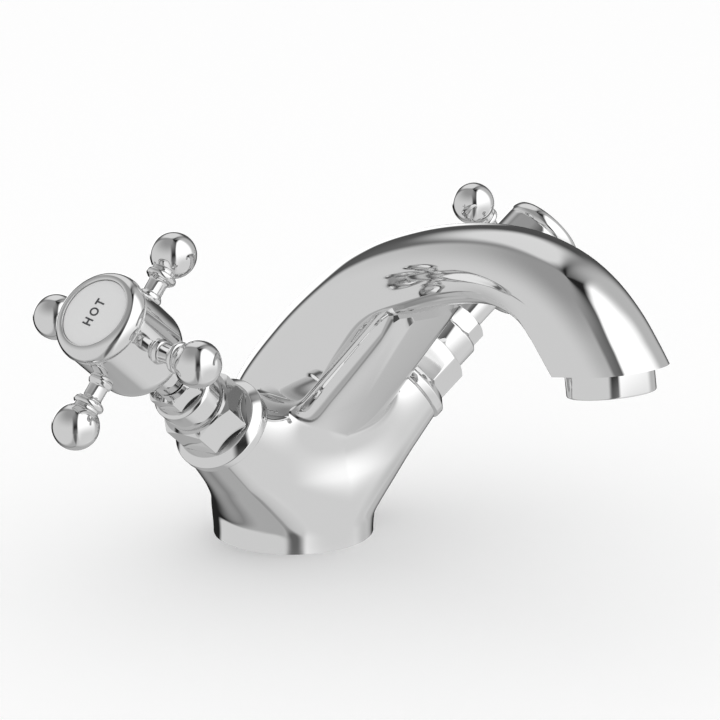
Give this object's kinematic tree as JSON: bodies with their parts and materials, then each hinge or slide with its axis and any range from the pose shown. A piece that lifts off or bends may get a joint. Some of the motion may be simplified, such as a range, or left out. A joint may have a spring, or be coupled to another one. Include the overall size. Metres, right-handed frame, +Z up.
{
  "type": "basin mixer tap",
  "caption": "Deck-mounted basin mixer tap with an arched spout, a flared cast body and ball-ended cross handles that turn ceramic disc valves.",
  "frame": {"origin": "centre of the round base, on the face that stands on the basin", "axes": "+Z up, the spout reaches towards -Y, the hot handle leans to -X and the cold handle to +X"},
  "size_m": [0.203, 0.1705, 0.1093],
  "materials": {
    "polished_chrome": "polished chrome plate on brass",
    "raw_brass": "turned brass",
    "black_rubber": "moulded rubber",
    "white_ceramic": "ground alumina",
    "flow_insert": "moulded plastic",
    "index_print": "smooth moulded plastic",
    "zinc_screw": "zinc plated steel"
  },
  "bodies": {
    "tap": {"body": "polished_chrome", "base_seal": "black_rubber", "aerator_housing": "polished_chrome", "aerator_insert": "flow_insert", "aerator_washer": "black_rubber", "hot_trim_ring": "polished_chrome", "hot_headwork": "polished_chrome", "hot_gland_nut": "polished_chrome", "hot_seat_washer": "black_rubber", "hot_fixed_disc": "white_ceramic", "cold_trim_ring": "polished_chrome", "cold_headwork": "polished_chrome", "cold_gland_nut": "polished_chrome", "cold_seat_washer": "black_rubber", "cold_fixed_disc": "white_ceramic"},
    "hot_handle": {"hot_moving_disc": "white_ceramic", "hot_spindle": "raw_brass", "hot_spindle_seals": "black_rubber", "hot_hub": "polished_chrome", "hot_spokes": "polished_chrome", "hot_bezel": "polished_chrome", "hot_index_disc": "index_print", "hot_handle_screw": "zinc_screw"},
    "cold_handle": {"cold_moving_disc": "white_ceramic", "cold_spindle": "raw_brass", "cold_spindle_seals": "black_rubber", "cold_hub": "polished_chrome", "cold_spokes": "polished_chrome", "cold_bezel": "polished_chrome", "cold_index_disc": "index_print", "cold_handle_screw": "zinc_screw"}
  },
  "joints": [
    {"name": "hot_turn", "type": "hinge", "parent": "tap", "child": "hot_handle", "pos_m": [0, -0.003, 0.0118], "axis": [-0.7525, -0.1655, 0.6374], "range_deg": [0, 90]},
    {"name": "cold_turn", "type": "hinge", "parent": "tap", "child": "cold_handle", "pos_m": [0, -0.003, 0.0118], "axis": [0.7525, -0.1655, 0.6374], "range_deg": [-90, 0]}
  ]
}
